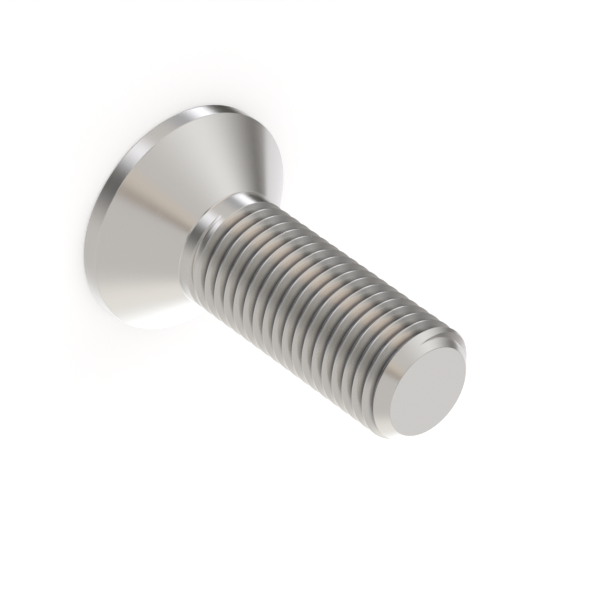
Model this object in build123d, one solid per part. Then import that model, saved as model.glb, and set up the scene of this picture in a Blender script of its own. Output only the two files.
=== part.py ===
from build123d import *
from math import atan, ceil, cos, degrees, radians, tan
import os

# Countersunk socket screw: one piece of stainless steel with a flat-topped conical head,
# a hexagon socket sunk in the head, a short plain neck and a right-hand metric thread
# that runs out through the chamfer of the point.
#
# Frame: the origin is the centre of the head's flat face and +Z runs along the shank to
# the point, so the screw stands on its head. Lengths are in millimetres, angles in degrees.

# --- Head ---------------------------------------------------------------------------
HEAD_DIAMETER = 5.74        # across the rim
RIM_HEIGHT = 0.47           # straight band between the flat face and the cone
SINK_ANGLE = 90.0           # included angle of the cone that seats in the countersink
FACE_CHAMFER = 0.05         # breaks the edge between the flat face and the rim
RIM_EDGE_RADIUS = 0.05      # rounds the edge between the rim and the cone

# --- Shank --------------------------------------------------------------------------
SCREW_LENGTH = 9.0          # from the flat face to the point; the head counts, as it sinks
THREAD_DIAMETER = 2.97      # over the crests, a little under the nominal size of 3
NECK_FILLET_RADIUS = 0.2    # hollow corner where the cone runs into the shank
NECK_LENGTH = 0.47          # plain shank between the end of the cone and the thread
POINT_DIAMETER = 2.28       # flat end face, smaller than the bottom of the thread
POINT_ANGLE = 45.0          # slope of the point's chamfer against the end face
POINT_EDGE_RADIUS = 0.03    # edge between the chamfer and the end face

# --- Thread -------------------------------------------------------------------------
PITCH = 0.35                # fine series for the nominal size of 3
THREAD_ANGLE = 60.0         # angle between the two flanks of the groove
RUN_OUT_TURNS = 0.33        # part of a turn over which the groove climbs out at the neck

# --- Socket -------------------------------------------------------------------------
SOCKET_ACROSS_FLATS = 2.0   # size of the hexagon key
SOCKET_DEPTH = 1.2          # depth of the flat sides
MOUTH_DIAMETER = 2.45       # lead-in cone at the mouth, just clear of the corners
MOUTH_ANGLE = 120.0         # included angle of the lead-in
PILOT_DIAMETER = 1.9        # drilled hole that the hexagon is broached into
DRILL_POINT_ANGLE = 120.0   # included angle of the drilled bottom

# --- Sizes that follow --------------------------------------------------------------
head_radius = HEAD_DIAMETER / 2
crest_radius = THREAD_DIAMETER / 2
point_radius = POINT_DIAMETER / 2
cone_height = (head_radius - crest_radius) / tan(radians(SINK_ANGLE / 2))
cone_end = RIM_HEIGHT + cone_height
point_height = (crest_radius - point_radius) * tan(radians(POINT_ANGLE))

# Metric thread form: the crest is an eighth of the pitch wide, and the groove is
# 17/24 of the height of the sharp triangle deep.
flank_slope = tan(radians(THREAD_ANGLE / 2))
sharp_height = PITCH / 2 / flank_slope
groove_depth = 17 / 24 * sharp_height
crest_width = PITCH / 8
root_width = PITCH - crest_width - 2 * groove_depth * flank_slope
root_radius = crest_radius - groove_depth

# The cutter stands a little proud of the crests, but by less than would make
# neighbouring turns of it meet.
cutter_height = groove_depth + crest_width / 4 / flank_slope
cutter_width = root_width + 2 * cutter_height * flank_slope
run_out_length = RUN_OUT_TURNS * PITCH
full_thread_start = cone_end + NECK_LENGTH + run_out_length


def screw_blank():
    """The turned body: head, neck and shank with a chamfered point."""
    axis_bottom = (0, 0)
    axis_top = (0, SCREW_LENGTH)
    outline = FilletPolyline(
        axis_bottom,
        (head_radius - FACE_CHAMFER, 0),
        (head_radius, FACE_CHAMFER),
        (head_radius, RIM_HEIGHT),
        (crest_radius, cone_end),
        (crest_radius, SCREW_LENGTH - point_height),
        (point_radius, SCREW_LENGTH),
        axis_top,
        radius=(0, 0, RIM_EDGE_RADIUS, NECK_FILLET_RADIUS, 0, POINT_EDGE_RADIUS),
    )
    section = make_face(Plane.XZ * (outline + Line(axis_top, axis_bottom)))
    return revolve(section, Axis.Z)


def groove_section():
    """The groove between two crests, drawn in the plane that holds the screw's axis."""
    cutter_radius = root_radius + cutter_height
    return make_face(
        Plane.XZ
        * Polyline(
            (root_radius, -root_width / 2),
            (cutter_radius, -cutter_width / 2),
            (cutter_radius, cutter_width / 2),
            (root_radius, root_width / 2),
            close=True,
        )
    )


def thread_cutter():
    """The full-depth groove, one helix edge for each turn, carried on past the point."""
    turns = ceil((SCREW_LENGTH - full_thread_start) / PITCH) + 1
    one_turn = Helix(pitch=PITCH, height=PITCH, radius=root_radius)
    path = Wire([edge for turn in range(turns) for edge in (Pos(0, 0, turn * PITCH) * one_turn).edges()])
    return sweep(groove_section(), path=path, is_frenet=True)


def run_out_cutter():
    """The groove below the full thread, which climbs to the surface and ends on the neck."""
    climb_angle = degrees(atan(cutter_height / run_out_length))
    rising = Helix(
        pitch=PITCH / cos(radians(climb_angle)),
        height=run_out_length,
        radius=root_radius,
        cone_angle=climb_angle,
    )
    return sweep(groove_section(), path=rising.rotate(Axis.X, 180), is_frenet=True)


def hexagon_socket():
    """The driving recess, open at the flat face: lead-in, six sides and drilled bottom."""
    sides = extrude(RegularPolygon(SOCKET_ACROSS_FLATS / 2, 6, major_radius=False), SOCKET_DEPTH)
    drill_point_height = PILOT_DIAMETER / 2 / tan(radians(DRILL_POINT_ANGLE / 2))
    drill_point = Cone(PILOT_DIAMETER / 2, 0, drill_point_height, align=(Align.CENTER, Align.CENTER, Align.MIN))
    mouth_height = MOUTH_DIAMETER / 2 / tan(radians(MOUTH_ANGLE / 2))
    mouth = Cone(MOUTH_DIAMETER / 2, 0, mouth_height, align=(Align.CENTER, Align.CENTER, Align.MIN))
    return sides + Pos(0, 0, SOCKET_DEPTH) * drill_point + mouth


def screw():
    """The whole screw as one solid."""
    thread_place = Pos(0, 0, full_thread_start)
    threaded = screw_blank() - thread_place * thread_cutter() - thread_place * run_out_cutter()
    return threaded - hexagon_socket()


os.makedirs("parts", exist_ok=True)
export_step(screw(), "parts/screw.step")
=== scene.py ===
# %% [markdown]
# # A countersunk socket screw
#
# The screw is one piece of stainless steel, 9 mm long, that stands on the flat face of its
# head. It has a conical head with a hexagon socket, a short plain neck and a fine thread that
# fades out in the chamfer of the point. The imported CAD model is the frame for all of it: the
# axis is Z, the flat face lies at Z = 0, and every length here is in metres.

# %% Load the frame
import math

import bmesh
import bpy
import numpy as np
from mathutils import Matrix, Vector


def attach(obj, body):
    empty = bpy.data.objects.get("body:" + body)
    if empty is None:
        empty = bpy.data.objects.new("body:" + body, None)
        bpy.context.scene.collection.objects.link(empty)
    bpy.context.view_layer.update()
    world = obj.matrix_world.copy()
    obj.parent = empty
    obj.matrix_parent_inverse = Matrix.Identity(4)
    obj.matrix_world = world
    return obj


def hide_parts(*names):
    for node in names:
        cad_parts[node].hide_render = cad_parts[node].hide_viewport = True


MM = 0.001
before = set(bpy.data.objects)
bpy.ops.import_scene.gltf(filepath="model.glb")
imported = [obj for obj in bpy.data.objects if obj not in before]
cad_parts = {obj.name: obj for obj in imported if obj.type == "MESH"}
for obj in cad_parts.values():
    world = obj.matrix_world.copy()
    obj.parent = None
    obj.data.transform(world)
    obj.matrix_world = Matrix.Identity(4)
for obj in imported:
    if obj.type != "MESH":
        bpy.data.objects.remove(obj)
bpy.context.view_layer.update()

# %% [markdown]
# ## The sizes
#
# The solid has flat facets, which is right for measuring but shows in a mirror of polished
# steel. The visual screw is therefore built again as one fine mesh with the solid's sizes.
# Only the corner at the neck, the crests of the thread and its two ends are a little finer.
# Each size is written once, here, and every other length follows from them.

# %% Sizes of the head and the shank
HEAD_RADIUS = 2.87 * MM
RIM_HEIGHT = 0.47 * MM
CREST_RADIUS = 1.485 * MM
SCREW_LENGTH = 9.0 * MM
POINT_RADIUS = 1.14 * MM
cone_end = RIM_HEIGHT + HEAD_RADIUS - CREST_RADIUS
chamfer_sum = POINT_RADIUS + SCREW_LENGTH       # radius plus height, the same all over the chamfer
chamfer_start = chamfer_sum - CREST_RADIUS
print("cone ends at %.3f mm, chamfer starts at %.3f mm" % (cone_end / MM, chamfer_start / MM))

# %% Sizes of the socket
SOCKET_HALF_WIDTH = 1.0 * MM
SOCKET_DEPTH = 1.2 * MM
MOUTH_RADIUS = 1.225 * MM
PILOT_RADIUS = 0.95 * MM
SLOPE_OF_120 = math.tan(math.radians(60))
drill_point = SOCKET_DEPTH + PILOT_RADIUS / SLOPE_OF_120
print("socket is %.2f mm deep at its centre" % (drill_point / MM))

# %% Sizes of the thread
PITCH = 0.35 * MM
THREAD_START = 2.465 * MM       # height of the full groove on the +X side
RUN_OUT_TURNS = 0.66            # part of a turn in which the groove climbs out on the neck
GROOVE_END = 8.842 * MM         # height where the groove has faded out in the chamfer
FLANK_SLOPE = math.tan(math.radians(30))
DEPTH_OF_TRIANGLE = 17 / 24     # the metric form leaves this much of a sharp triangle
groove_depth = DEPTH_OF_TRIANGLE * PITCH / 2 / FLANK_SLOPE
root_radius = CREST_RADIUS - groove_depth
crest_width = PITCH / 12        # rolled a little sharper than the usual eighth of the pitch
root_width = PITCH - crest_width - 2 * groove_depth * FLANK_SLOPE
run_out_rise = groove_depth + crest_width / 4 / FLANK_SLOPE     # past the surface, so it is gone
print("groove is %.3f mm deep, its root is at radius %.3f mm" % (groove_depth / MM, root_radius / MM))

# %% Roundings of the edges
NECK_FILLET = 0.08 * MM
POINT_ROUNDING = 0.03 * MM
MOUTH_ROUNDING = 0.02 * MM
FACE_ROUNDING = 0.06 * MM
RIM_ROUNDING = 0.03 * MM
CREST_ROUNDING = 0.012 * MM
ROOT_ROUNDING = 0.02 * MM
BEND_ROUNDING = 0.01 * MM
EIGHTH_TURN = math.radians(45)
fillet_end = cone_end + NECK_FILLET * math.tan(EIGHTH_TURN / 2)
point_edge_start = SCREW_LENGTH - POINT_ROUNDING * math.tan(EIGHTH_TURN / 2) * math.cos(EIGHTH_TURN)
print("plain neck starts at %.3f mm" % (fillet_end / MM))

# %% [markdown]
# ## The groove of the thread
#
# A thread is a groove that winds round the shank like a stair. It could be cut with a
# boolean, which leaves long thin faces that shade badly. Here the surface is a net of
# columns round the axis instead. In each column the groove's four corners stand a little
# higher than in the column before, and after one full turn they have climbed one pitch, so
# the last column meets the first one a turn further up. Rolling dies press less and less at
# the ends of a thread, so the groove climbs out to the surface on the neck and fades in the
# chamfer of the point.

# %% Columns and the unthreaded rod
COLUMNS = 264
turned = np.arange(COLUMNS + 1) / COLUMNS       # part of a turn, for every column


def blank_radius(z):
    """Radius of the unthreaded shank: a plain rod that ends in the 45 degree chamfer."""
    return np.minimum(CREST_RADIUS, chamfer_sum - z)


print("columns:", COLUMNS)


# %% The four corners of one turn
def flank_corner(root_edge, root, side):
    """Height where a flank that leaves the root at root_edge meets the rod; side is -1 or 1."""
    on_rod = root_edge + side * (CREST_RADIUS - root) * FLANK_SLOPE
    on_chamfer = (root_edge + side * (chamfer_sum - root) * FLANK_SLOPE) / (1 + side * FLANK_SLOPE)
    return np.where(on_rod > chamfer_start, on_chamfer, on_rod)


def groove_corners(turn):
    """Height and radius of the four corners of one turn of the groove, in every column."""
    winding = turned + turn
    # Squared, so that on the neck the groove leaves its full depth slowly.
    root = root_radius + np.clip(-winding / RUN_OUT_TURNS, 0, 1) ** 2 * run_out_rise
    root_low = THREAD_START + PITCH * winding - root_width / 2
    root_high = root_low + root_width
    # The chamfer leaves less to press, so the groove grows shallow there, and then ends.
    pressed = np.clip((GROOVE_END - root_low) / (GROOVE_END - chamfer_start), 0, 1)
    root = np.maximum(root, blank_radius(root_low) - pressed * groove_depth)
    low = flank_corner(root_low, root, -1)
    high = flank_corner(root_high, root, 1)
    cut_off = np.minimum(root_high, chamfer_sum - root)     # the chamfer may cut the root itself
    high = np.where(cut_off < root_high, cut_off, high)
    heights = np.stack([low, root_low, cut_off, high])
    radii = np.stack([blank_radius(low), root, root, blank_radius(high)])
    # Where there is no groove, all four corners rest in one point of the rod.
    gone = root >= blank_radius(root_low)
    faded = np.clip((-winding - RUN_OUT_TURNS) / (1 - RUN_OUT_TURNS), 0, 1)
    rest = np.minimum(root_low + (fillet_end - root_low) * faded, point_edge_start)
    return np.where(gone, rest, heights), np.where(gone, blank_radius(rest), radii)


turns = math.ceil((SCREW_LENGTH - THREAD_START) / PITCH) + 1
grooves = [groove_corners(turn) for turn in range(-1, turns)]
print("turns of the groove:", len(grooves))

# %% [markdown]
# ## The section
#
# The whole surface is one section line, from the bottom of the socket, round the head and
# up the shank to the middle of the end face. Each of its corners has a height and a radius
# in every column, so the socket can be a hexagon and the thread a helix on the same line.

# %% Corners of the section
EDGE_SHARE = 0.45               # the most of an edge that the rounding of one end may use
LEAST_MARGIN, MOST_MARGIN = 0.2, 0.5
section = []


def corner(height, radius, rounding=0.0, steps=0, share=EDGE_SHARE):
    """Adds a corner: its place, its rounding in so many steps, and its share of an edge."""
    every = np.ones(COLUMNS + 1)
    section.append((np.stack([radius * every, height * every], axis=-1), rounding, steps, share))


def bend_in_band(start, end):
    """Adds the bend from rod to chamfer, or a plain point where a band has no such bend."""
    outside = np.maximum(start - chamfer_start, chamfer_start - end) / crest_width
    margin = (LEAST_MARGIN + (MOST_MARGIN - LEAST_MARGIN) * np.clip(outside, 0, 1)) * (end - start)
    bend = np.clip(chamfer_start, start + margin, end - margin)
    corner(bend, blank_radius(bend), BEND_ROUNDING, 2)


# %% Corners of the socket and the head
sixth = math.pi / 3
bearing = turned * 2 * math.pi
hexagon = SOCKET_HALF_WIDTH / np.cos(bearing % sixth - sixth / 2)
corner(drill_point, 0)
corner(SOCKET_DEPTH, PILOT_RADIUS)
corner(SOCKET_DEPTH, hexagon)
corner((MOUTH_RADIUS - hexagon) / SLOPE_OF_120, hexagon)
corner(0, MOUTH_RADIUS, MOUTH_ROUNDING, 3)
corner(0, HEAD_RADIUS, FACE_ROUNDING, 6)
corner(RIM_HEIGHT, HEAD_RADIUS, RIM_ROUNDING, 4)
corner(cone_end, CREST_RADIUS, NECK_FILLET, 8, share=1.0)
print("corners of socket and head:", len(section))

# %% Corners of the thread and the point
GROOVE_ROUNDINGS = (CREST_ROUNDING, ROOT_ROUNDING, ROOT_ROUNDING, CREST_ROUNDING)
band_start = fillet_end
for heights, radii in grooves:
    bend_in_band(band_start, heights[0])
    for height, radius, rounding in zip(heights, radii, GROOVE_ROUNDINGS):
        corner(height, radius, rounding, 3)
    band_start = heights[3]
bend_in_band(band_start, point_edge_start)
corner(SCREW_LENGTH, POINT_RADIUS, POINT_ROUNDING, 5, share=1.0)
corner(SCREW_LENGTH, 0)
print("corners of the whole section:", len(section))

# %% [markdown]
# ## Rounded edges
#
# No turned or rolled edge is perfectly sharp, and a rounded one catches the light as a thin
# line. A bevel modifier would need clean edges to work on. The section line is simpler to
# round: each corner is replaced by a few points of a small curve, shorter where the next
# corner is near.

# %% Rounding of one corner
TINY = 1e-12                    # keeps an edge of no length from dividing by nothing


def rounded(before, here, after, rounding, steps, share):
    """Replaces one corner by the points of a small curve."""
    if not steps:
        return [here]
    back, forward = before - here, after - here
    back_length = np.linalg.norm(back, axis=-1, keepdims=True)
    forward_length = np.linalg.norm(forward, axis=-1, keepdims=True)
    back = back / np.maximum(back_length, TINY)
    forward = forward / np.maximum(forward_length, TINY)
    turn_of_line = np.arccos(np.clip(-(back * forward).sum(-1, keepdims=True), -1, 1))
    room = share * np.minimum(back_length, forward_length)
    reach = np.minimum(rounding * np.tan(turn_of_line / 2), room)
    return [here + reach * (back * (1 - t) ** 2 + forward * t**2) for t in np.linspace(0, 1, steps + 1)]


# %% Round the section
rows = [section[0][0]]
for i in range(1, len(section) - 1):
    rows += rounded(section[i - 1][0], section[i][0], section[i + 1][0], *section[i][1:])
rows.append(section[-1][0])
net = np.stack(rows)
print("rows:", net.shape[0], "points:", net.shape[0] * net.shape[1])

# %% [markdown]
# ## The mesh
#
# The net becomes points in space. Many of them coincide: at the axis, where the groove has
# run out, and where the last column meets the first. Points in the same place are welded,
# and a face that lost a corner becomes a triangle or goes away, so the surface is closed.

# %% Points, welded
WELD = 2e-8
bearing[-1] = 0.0
points = np.stack([net[..., 0] * np.cos(bearing), net[..., 0] * np.sin(bearing), net[..., 1]], axis=-1)
places = np.round(points.reshape(-1, 3) / WELD).astype(np.int64)
_, first_use, number = np.unique(places, axis=0, return_index=True, return_inverse=True)
vertices = points.reshape(-1, 3)[first_use]
number = number.reshape(net.shape[:2])
print("points after welding:", len(vertices))

# %% Faces
quads = np.stack([number[:-1, :-1], number[:-1, 1:], number[1:, 1:], number[1:, :-1]], axis=-1)
faces = []
for quad in quads.reshape(-1, 4).tolist():
    face = [v for k, v in enumerate(quad) if v != quad[k - 1]]
    if len(face) > 2 and len(set(face)) == len(face):
        faces.append(face)
mesh = bpy.data.meshes.new("screw_body")
mesh.from_pydata(vertices.tolist(), [], faces)
print("faces:", len(faces), "triangles:", sum(len(face) - 2 for face in faces))

# %% [markdown]
# ## Smooth shading
#
# A polished surface is judged by its reflections, so its normals matter more than its
# faces. Each point's normal is the average of the faces round it, with large faces counting
# for more: the long flat bands then stay true and only the small roundings bend the light.
# The two flat faces of the screw are shaded flat.

# %% Normals
LEVEL = 0.99999                 # cosine of the tilt up to which a face counts as flat
face_points = np.array([face if len(face) == 4 else face + [face[-1]] for face in faces])
a, b, c, d = (vertices[face_points[:, k]] / MM for k in range(4))
face_normal = np.cross(c - a, d - b)
normals = np.zeros_like(vertices)
for k in range(4):
    np.add.at(normals, face_points[:, k], face_normal)
normals /= np.maximum(np.linalg.norm(normals, axis=1, keepdims=True), TINY)
level = np.abs(face_normal[:, 2]) > LEVEL * np.linalg.norm(face_normal, axis=1)
mesh.polygons.foreach_set("use_smooth", ~level)
mesh.normals_split_custom_set_from_vertices(normals.tolist())
mesh.update()
print("flat-shaded faces:", int(level.sum()))

# %% The screw, measured
screw = bpy.data.objects.new("screw_body", mesh)
bpy.context.scene.collection.objects.link(screw)
measured = bmesh.new()
measured.from_mesh(mesh)
print("open edges:", sum(1 for edge in measured.edges if len(edge.link_faces) != 2))
print("volume: %.2f mm3" % (measured.calc_volume(signed=True) / MM**3))
measured.free()

# %% [markdown]
# ## Helpers for shader nodes
#
# A finish is a small network of nodes. These helpers add one node each, and either link its
# sockets or type a value in, so that the cells below read like sums.


# %% One node at a time
def feed(tree, socket, value):
    """Links a socket to another one, or types the value in."""
    if isinstance(value, bpy.types.NodeSocket):
        tree.links.new(value, socket)
    else:
        socket.default_value = value


def maths(tree, operation, first, second=None):
    """One sum of one or two numbers."""
    node = tree.nodes.new("ShaderNodeMath")
    node.operation = operation
    feed(tree, node.inputs[0], first)
    if second is not None:
        feed(tree, node.inputs[1], second)
    return node.outputs[0]


def smooth_step(tree, value, start, end):
    """Goes smoothly from 0, where the value is at start, to 1, where it is at end."""
    node = tree.nodes.new("ShaderNodeMapRange")
    node.interpolation_type = "SMOOTHSTEP"
    for title, setting in {"Value": value, "From Min": start, "From Max": end}.items():
        feed(tree, node.inputs[title], setting)
    return node.outputs["Result"]


def mixed_colour(tree, factor, first, second):
    """The first colour where the factor is 0, and the second where it is 1."""
    node = tree.nodes.new("ShaderNodeMix")
    node.data_type = "RGBA"
    first_socket, second_socket = [socket for socket in node.inputs if socket.type == "RGBA"]
    feed(tree, node.inputs["Factor"], factor)
    feed(tree, first_socket, first)
    feed(tree, second_socket, second)
    return next(socket for socket in node.outputs if socket.type == "RGBA")


# %% Groups with named sockets
def new_group(name, inputs, outputs):
    """An empty node group: its tree, what comes in, and where the results go."""
    group = bpy.data.node_groups.new(name, "ShaderNodeTree")
    for title, kind in inputs.items():
        group.interface.new_socket(title, in_out="INPUT", socket_type="NodeSocket" + kind)
    for title in outputs:
        group.interface.new_socket(title, in_out="OUTPUT", socket_type="NodeSocketFloat")
    return group, group.nodes.new("NodeGroupInput").outputs, group.nodes.new("NodeGroupOutput").inputs


def place_group(tree, group, values):
    """Places a group in a tree with its own values."""
    node = tree.nodes.new("ShaderNodeGroup")
    node.node_tree = group
    for title, value in values.items():
        feed(tree, node.inputs[title], value)
    return node.outputs


print("helpers ready")

# %% [markdown]
# ## Where a point is, seen from the axis
#
# Turning and rolling both leave marks that run round the axis. Every mark below starts from
# the same facts about a point: how far it is from the axis, how high it is, and in which
# direction it lies. The direction is given as a cosine and a sine, because an angle would
# jump where it starts again, and the jump would show as a line down the screw.

# %% Group: round the axis
LEAST_RADIUS = 0.001 * MM       # keeps the axis itself from dividing by nothing
axis_group, given, results = new_group(
    "round_the_axis", {"Place": "Vector"}, ["Radius", "Height", "Cosine", "Sine"]
)
split = axis_group.nodes.new("ShaderNodeSeparateXYZ")
axis_group.links.new(given["Place"], split.inputs[0])
x, y, z = split.outputs
squares = maths(axis_group, "ADD", maths(axis_group, "MULTIPLY", x, x), maths(axis_group, "MULTIPLY", y, y))
radius = maths(axis_group, "MAXIMUM", maths(axis_group, "SQRT", squares), LEAST_RADIUS)
axis_group.links.new(radius, results["Radius"])
axis_group.links.new(z, results["Height"])
axis_group.links.new(maths(axis_group, "DIVIDE", x, radius), results["Cosine"])
axis_group.links.new(maths(axis_group, "DIVIDE", y, radius), results["Sine"])
print("group:", axis_group.name, "nodes:", len(axis_group.nodes))

# %% [markdown]
# ## Turned grain
#
# The tool that turned the blank left very fine rings, which a light polish has nearly taken
# away. They could be a wave texture, but equal rings look like a record. A four-dimensional
# noise is stretched round the axis instead: it changes quickly with radius and height and
# slowly with direction, so the rings come and go as they do on real turned steel.

# %% Group: turned grain
GRAIN_DETAIL = 3.0
grain_group, given, results = new_group(
    "turned_grain", {"Place": "Vector", "Rings per metre": "Float", "Waver": "Float"}, ["Grain"]
)
polar = place_group(grain_group, axis_group, {"Place": given["Place"]})
stretched = grain_group.nodes.new("ShaderNodeCombineXYZ")
rings = given["Rings per metre"]
feed(grain_group, stretched.inputs[0], maths(grain_group, "MULTIPLY", polar["Radius"], rings))
feed(grain_group, stretched.inputs[1], maths(grain_group, "MULTIPLY", polar["Height"], rings))
feed(grain_group, stretched.inputs[2], maths(grain_group, "MULTIPLY", polar["Cosine"], given["Waver"]))
noise = grain_group.nodes.new("ShaderNodeTexNoise")
noise.noise_dimensions = "4D"
feed(grain_group, noise.inputs["Vector"], stretched.outputs[0])
feed(grain_group, noise.inputs["W"], maths(grain_group, "MULTIPLY", polar["Sine"], given["Waver"]))
feed(grain_group, noise.inputs["Scale"], 1.0)
feed(grain_group, noise.inputs["Detail"], GRAIN_DETAIL)
grain_group.links.new(noise.outputs[0], results["Grain"])
print("group:", grain_group.name, "nodes:", len(grain_group.nodes))

# %% [markdown]
# ## Painted shade in the thread
#
# The roots of the thread are painted darker: this is painted shade, for the shade that falls
# deep in the narrow groove, where little of the tent reaches. A mask from the mesh's curvature
# would depend on how the mesh is cut. The depth of a point below the unthreaded rod says where
# the shade goes exactly: it is 0 on the crests, on the neck and on the chamfer, and 1 at the
# bottom of the groove.

# %% Group: depth in the groove
FACE_MARGIN = 0.01 * MM         # the end face itself doesn't count as groove
depth_group, given, results = new_group(
    "groove_depth",
    {"Place": "Vector", "Crest radius": "Float", "Point radius": "Float", "Length": "Float",
     "Start": "Float", "Full depth": "Float"},
    ["Depth"],
)
polar = place_group(depth_group, axis_group, {"Place": given["Place"]})
to_face = maths(depth_group, "SUBTRACT", given["Length"], polar["Height"])
chamfer_radius = maths(depth_group, "ADD", given["Point radius"], to_face)
rod_radius = maths(depth_group, "MINIMUM", given["Crest radius"], chamfer_radius)
below = maths(depth_group, "SUBTRACT", rod_radius, polar["Radius"])
share_of_depth = maths(depth_group, "DIVIDE", below, given["Full depth"])
on_shank = maths(depth_group, "GREATER_THAN", polar["Height"], given["Start"])
under_face = maths(depth_group, "GREATER_THAN", to_face, FACE_MARGIN)
in_groove = maths(depth_group, "MULTIPLY", on_shank, under_face)
depth = maths(depth_group, "MULTIPLY", share_of_depth, in_groove)
depth = maths(depth_group, "MINIMUM", maths(depth_group, "MAXIMUM", depth, 0.0), 1.0)
depth_group.links.new(depth, results["Depth"])
print("group:", depth_group.name, "nodes:", len(depth_group.nodes))

# %% [markdown]
# ## Marks from the box
#
# Screws are sold loose, and rub against each other in the box. That leaves hair-fine
# scratches in all directions. They could be drawn one by one, but the borders between the
# cells of a Voronoi texture are straight, thin and unordered already. A coarse noise wipes
# most of them away again, so that they come in short pieces.

# %% Group: box scratches
PATCHES_PER_CELL = 0.6
PATCH_START, PATCH_FULL = 0.52, 0.66    # noise between these keeps a scratch partly, above it fully
scratch_group, given, results = new_group(
    "box_scratches", {"Place": "Vector", "Cells per metre": "Float", "Width": "Float"}, ["Scratch"]
)
cells = scratch_group.nodes.new("ShaderNodeTexVoronoi")
cells.feature = "DISTANCE_TO_EDGE"
feed(scratch_group, cells.inputs["Vector"], given["Place"])
feed(scratch_group, cells.inputs["Scale"], given["Cells per metre"])
line = smooth_step(scratch_group, cells.outputs["Distance"], given["Width"], 0.0)
patches = scratch_group.nodes.new("ShaderNodeTexNoise")
feed(scratch_group, patches.inputs["Vector"], given["Place"])
patch_scale = maths(scratch_group, "MULTIPLY", given["Cells per metre"], PATCHES_PER_CELL)
feed(scratch_group, patches.inputs["Scale"], patch_scale)
kept = smooth_step(scratch_group, patches.outputs[0], PATCH_START, PATCH_FULL)
scratch_group.links.new(maths(scratch_group, "MULTIPLY", line, kept), results["Scratch"])
print("group:", scratch_group.name, "nodes:", len(scratch_group.nodes))

# %% [markdown]
# ## Stainless steel
#
# The steel has a satin polish: it mirrors large shapes clearly and small ones softly, which
# is a roughness of about 0.2. The grain and the scratches move the roughness a little and
# tilt the normal by a degree or so, through a bump of about a thousandth of a millimetre.
# The painted shade in the roots only darkens the colour: the roughness and the bump there
# are the same as on the flanks.

# %% Colours and finish of the steel
STEEL_COLOUR = (0.64, 0.63, 0.6, 1)
# Painted shade: the second colour darkens the roots of the thread, where shade falls deep in the groove.
ROOT_SHADE_COLOUR = (0.245, 0.247, 0.255, 1)
ROOT_SHADE_START, ROOT_SHADE_FULL = 0.4, 1.05       # shares of the groove's depth where it begins, and is whole
POLISH = 0.19
GRAIN_ROUGHNESS = 0.05
SCRATCH_ROUGHNESS = 0.12
GRAIN_HEIGHT = 0.0009 * MM
SCRATCH_DEPTH = 0.15                    # in heights of the grain
GRAIN = {"Rings per metre": 9000.0, "Waver": 1.4}
SCRATCHES = {"Cells per metre": 3600.0, "Width": 0.01}
ROD = {"Crest radius": CREST_RADIUS, "Point radius": POINT_RADIUS, "Length": SCREW_LENGTH,
       "Start": fillet_end, "Full depth": groove_depth}
print("one ring of grain: %.3f mm" % (1 / GRAIN["Rings per metre"] / MM))

# %% Material: stainless steel
steel = bpy.data.materials.new("stainless_steel")
steel.use_nodes = True
finish = steel.node_tree
bsdf = finish.nodes["Principled BSDF"]
place = {"Place": finish.nodes.new("ShaderNodeTexCoord").outputs["Object"]}
grain = place_group(finish, grain_group, place | GRAIN)["Grain"]
scratch = place_group(finish, scratch_group, place | SCRATCHES)["Scratch"]
depth = place_group(finish, depth_group, place | ROD)["Depth"]
# Painted shade: the colour darkens with the depth of a point in the groove.
painted_root_shade = smooth_step(finish, depth, ROOT_SHADE_START, ROOT_SHADE_FULL)
feed(finish, bsdf.inputs["Base Color"], mixed_colour(finish, painted_root_shade, STEEL_COLOUR, ROOT_SHADE_COLOUR))
bsdf.inputs["Metallic"].default_value = 1
print("colour and film are in place")

# %% Roughness and bump of the steel
rough_grain = maths(finish, "MULTIPLY", maths(finish, "SUBTRACT", grain, 0.5), GRAIN_ROUGHNESS)
rough_marks = maths(finish, "MULTIPLY", scratch, SCRATCH_ROUGHNESS)
rough_sum = maths(finish, "ADD", rough_grain, rough_marks)
feed(finish, bsdf.inputs["Roughness"], maths(finish, "ADD", rough_sum, POLISH))
relief = maths(finish, "SUBTRACT", grain, maths(finish, "MULTIPLY", scratch, SCRATCH_DEPTH))
bump = finish.nodes.new("ShaderNodeBump")
bump.inputs["Distance"].default_value = GRAIN_HEIGHT
feed(finish, bump.inputs["Height"], relief)
feed(finish, bsdf.inputs["Normal"], bump.outputs["Normal"])
mesh.materials.append(steel)
print("steel nodes:", len(finish.nodes))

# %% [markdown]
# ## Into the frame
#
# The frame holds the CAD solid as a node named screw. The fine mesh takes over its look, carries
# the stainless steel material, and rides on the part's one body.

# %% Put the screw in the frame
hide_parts("screw")
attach(screw, "root")
print(screw.name, "replaces the node screw")

# %% [markdown]
# ## The floor
#
# The floor is a plain pale disc. Light Path's camera ray adds a little light to it, so that
# it reads as white without more light on the steel, and it still shows the screw's shadow.
# The floor is left out of mirror rays: what the steel mirrors, above and below, is the light
# tent of the next step, as if the screw stood on glass inside it.

# %% Floor
FLOOR_RADIUS = 0.4
FLOOR_SEGMENTS = 96
floor_bmesh = bmesh.new()
bmesh.ops.create_circle(floor_bmesh, cap_ends=True, segments=FLOOR_SEGMENTS, radius=FLOOR_RADIUS)
floor_mesh = bpy.data.meshes.new("floor")
floor_bmesh.to_mesh(floor_mesh)
floor_bmesh.free()
floor = bpy.data.objects.new("floor", floor_mesh)
bpy.context.scene.collection.objects.link(floor)
floor.visible_glossy = False
print("floor faces:", len(floor_mesh.polygons))

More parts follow.
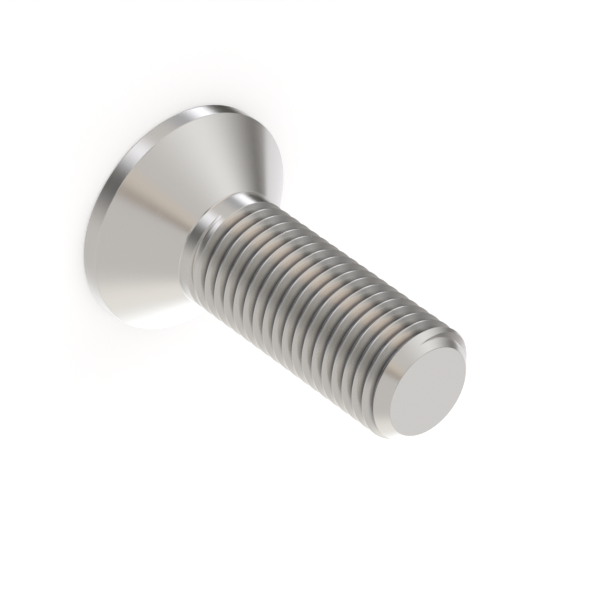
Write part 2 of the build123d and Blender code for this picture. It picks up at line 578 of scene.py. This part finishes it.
# %% Material: pale floor
WHITE = (1, 1, 1, 1)
FLOOR_COLOUR = (0.93, 0.93, 0.93, 1)
FLOOR_ROUGHNESS = 0.9
FLOOR_LIFT = 0.22
floor_material = bpy.data.materials.new("pale_floor")
floor_material.use_nodes = True
floor_tree = floor_material.node_tree
floor_bsdf = floor_tree.nodes["Principled BSDF"]
floor_bsdf.inputs["Base Color"].default_value = FLOOR_COLOUR
floor_bsdf.inputs["Roughness"].default_value = FLOOR_ROUGHNESS
floor_bsdf.inputs["Emission Color"].default_value = WHITE
seen = floor_tree.nodes.new("ShaderNodeLightPath").outputs["Is Camera Ray"]
feed(floor_tree, floor_bsdf.inputs["Emission Strength"], maths(floor_tree, "MULTIPLY", seen, FLOOR_LIFT))
floor_mesh.materials.append(floor_material)
print("floor nodes:", len(floor_tree.nodes))

# %% [markdown]
# ## The light tent
#
# Polished steel has almost no colour of its own: it shows what stands round it. A product is
# therefore set in a tent of pale cloth with soft panels in it, some brighter and some
# darker, and those make the light and dark bands that say "steel". The panels could be
# lamps, but a lamp that close would need a size for every view. Here they are soft-edged
# rectangles on the sky, each with a direction, a half width and a half height.


# %% Group: one panel of the tent
def panel_group():
    """A mask that is 1 inside a soft-edged rectangle of the sky, seen from the object."""
    sockets = {"Direction": "Vector", "Centre": "Vector", "Right": "Vector", "Up": "Vector",
               "Half width": "Float", "Half height": "Float", "Softness": "Float"}
    group, given, results = new_group("tent_panel", sockets, ["Mask"])

    def along(axis):
        node = group.nodes.new("ShaderNodeVectorMath")
        node.operation = "DOT_PRODUCT"
        feed(group, node.inputs[0], given["Direction"])
        feed(group, node.inputs[1], given[axis])
        return node.outputs["Value"]

    def edge(angle, half):
        outer = maths(group, "ADD", given[half], given["Softness"])
        inner = maths(group, "SUBTRACT", given[half], given["Softness"])
        return smooth_step(group, maths(group, "ABSOLUTE", angle), outer, inner)

    across = maths(group, "ARCTAN2", along("Right"), along("Centre"))
    upward = maths(group, "ARCSINE", along("Up"))
    mask = maths(group, "MULTIPLY", edge(across, "Half width"), edge(upward, "Half height"))
    group.links.new(mask, results["Mask"])
    return group


tent_panel = panel_group()
print("group:", tent_panel.name, "nodes:", len(tent_panel.nodes))

# %% The panels
# name: azimuth, elevation, half width, half height, softness (degrees), colour
TENT_CLOTH = (0.78, 0.76, 0.76, 1)
TENT_PANELS = {
    "bright side": (-54, -14, 30, 22, 22, (1.64, 1.67, 1.73, 1)),
    "warm side": (-73, 14, 36, 10, 14, (1.21, 1.18, 1.15, 1)),
    "front sheet": (-31, 37, 20, 13, 12, (0.965, 0.955, 0.98, 1)),
    "upper panel": (57, 35, 29, 21, 27, (1.18, 1.18, 1.2, 1)),
    "dark door": (18, 21, 12, 40, 29, (0.09, 0.085, 0.085, 1)),
    "edge sheet": (-10, -16, 16, 17, 4, (1.02, 1.01, 1.05, 1)),
    "warm top": (66, 68, 10, 8, 6, (0.95, 0.86, 0.77, 1)),
    "dark top": (33, 54, 5, 8, 4, (0.25, 0.25, 0.25, 1)),
    "top sheet": (160, 85, 17, 17, 6, (0.42, 0.42, 0.42, 1)),
    "warm wall": (92, -20, 22, 10, 9, (1.36, 1.17, 1.06, 1)),
    "dark wall": (64, -9, 9, 7, 6, (0.3, 0.3, 0.3, 1)),
    "back wall": (156, -19, 16, 9, 7, (0.94, 0.91, 0.88, 1)),
    "far wall": (-138, -20, 26, 10, 9, (1.02, 0.98, 0.95, 1)),
    "dark foot": (17, -45, 14, 20, 8, (0.1, 0.1, 0.09, 1)),
    "low lamp": (49, -42, 10, 12, 4, (1.77, 1.79, 1.93, 1)),
    "low grey": (69, -42, 9, 14, 9, (0.53, 0.54, 0.58, 1)),
    "second low lamp": (132, -42, 12, 12, 9, (1.64, 1.64, 1.77, 1)),
    "low dark post": (163, -43, 19, 20, 18, (0.17, 0.17, 0.17, 1)),
    "peach strip": (152, 50, 7, 12, 5, (0.87, 0.78, 0.7, 1)),
    "dark post": (165, 50, 4, 12, 4, (0.46, 0.4, 0.35, 1)),
    "narrow post": (122, 4, 6, 16, 5, (0.06, 0.06, 0.06, 1)),
    "second narrow post": (170, 4, 6, 16, 5, (0.1, 0.1, 0.1, 1)),
}
print("panels:", len(TENT_PANELS))


# %% Directions by azimuth and elevation
def direction_of(azimuth, elevation):
    """The direction from the screw that an azimuth and an elevation in degrees point in."""
    a, e = math.radians(azimuth), math.radians(elevation)
    return Vector((math.cos(e) * math.cos(a), math.cos(e) * math.sin(a), math.sin(e)))


print("straight up:", tuple(direction_of(0, 90)))

# %% World: the tent
world = bpy.data.worlds.new("light_tent")
bpy.context.scene.world = world
world.use_nodes = True
tent = world.node_tree
direction = tent.nodes.new("ShaderNodeTexCoord").outputs["Generated"]
surround = TENT_CLOTH
for azimuth, elevation, half_width, half_height, softness, colour in TENT_PANELS.values():
    centre = direction_of(azimuth, elevation)
    right = direction_of(azimuth + 90, 0)
    settings = {"Direction": direction, "Centre": centre, "Right": right, "Up": centre.cross(right),
                "Half width": math.radians(half_width), "Half height": math.radians(half_height),
                "Softness": math.radians(softness)}
    surround = mixed_colour(tent, place_group(tent, tent_panel, settings)["Mask"], surround, colour)
print("tent nodes:", len(tent.nodes))

# %% World: white to the camera
camera_ray = tent.nodes.new("ShaderNodeLightPath").outputs["Is Camera Ray"]
feed(tent, tent.nodes["Background"].inputs["Color"], mixed_colour(tent, camera_ray, surround, WHITE))
tent.nodes["Background"].inputs["Strength"].default_value = 1.0
print("world:", world.name)

# %% [markdown]
# ## The overhead lamp
#
# The tent alone gives the floor an even light with hardly any shadow. One wide round lamp
# above the screw brings the floor up to a plain white level and keeps the shadow soft. It is
# left out of mirror rays, so it adds no spot to the end face.

# %% Overhead lamp
LAMP_WIDTH = 0.4
LAMP_HEIGHT = 0.5
LAMP_POWER = 0.5
lamp_data = bpy.data.lights.new("overhead", "AREA")
lamp_data.shape = "DISK"
lamp_data.size = LAMP_WIDTH
lamp_data.energy = LAMP_POWER
lamp = bpy.data.objects.new("overhead", lamp_data)
lamp.location = (0, 0, LAMP_HEIGHT)
lamp.visible_glossy = False
bpy.context.scene.collection.objects.link(lamp)
print("lamp power:", lamp_data.energy, "W")

# %% [markdown]
# ## The camera
#
# The camera looks at the middle of the screw from above its point, with a long lens from
# close by, and is rolled so that the shank runs down to the right. Its place is given as a
# bearing, an elevation and a distance, which are easier to read than three coordinates.

# %% Camera
LENS = 272.0
SENSOR_WIDTH = 36.0
VIEW_AZIMUTH = 150.0
VIEW_ELEVATION = 37.70
VIEW_DISTANCE = 0.105123
VIEW_ROLL = 125.60
NEAREST, FARTHEST = 0.001, 10.0
camera_data = bpy.data.cameras.new("camera")
camera_data.lens = LENS
camera_data.sensor_width = SENSOR_WIDTH
camera_data.clip_start, camera_data.clip_end = NEAREST, FARTHEST
camera = bpy.data.objects.new("camera", camera_data)
bpy.context.scene.collection.objects.link(camera)
backward = direction_of(VIEW_AZIMUTH, VIEW_ELEVATION)
camera.location = Vector((0, 0, SCREW_LENGTH / 2)) + backward * VIEW_DISTANCE
level_view = (-backward).to_track_quat("-Z", "Y").to_matrix()
camera.rotation_mode = "QUATERNION"
roll = Matrix.Rotation(math.radians(VIEW_ROLL), 3, "Z")
camera.rotation_quaternion = (level_view @ roll).to_quaternion()
bpy.context.scene.camera = camera
bpy.context.scene.view_settings.view_transform = "Standard"
print("camera at:", tuple(camera.location))
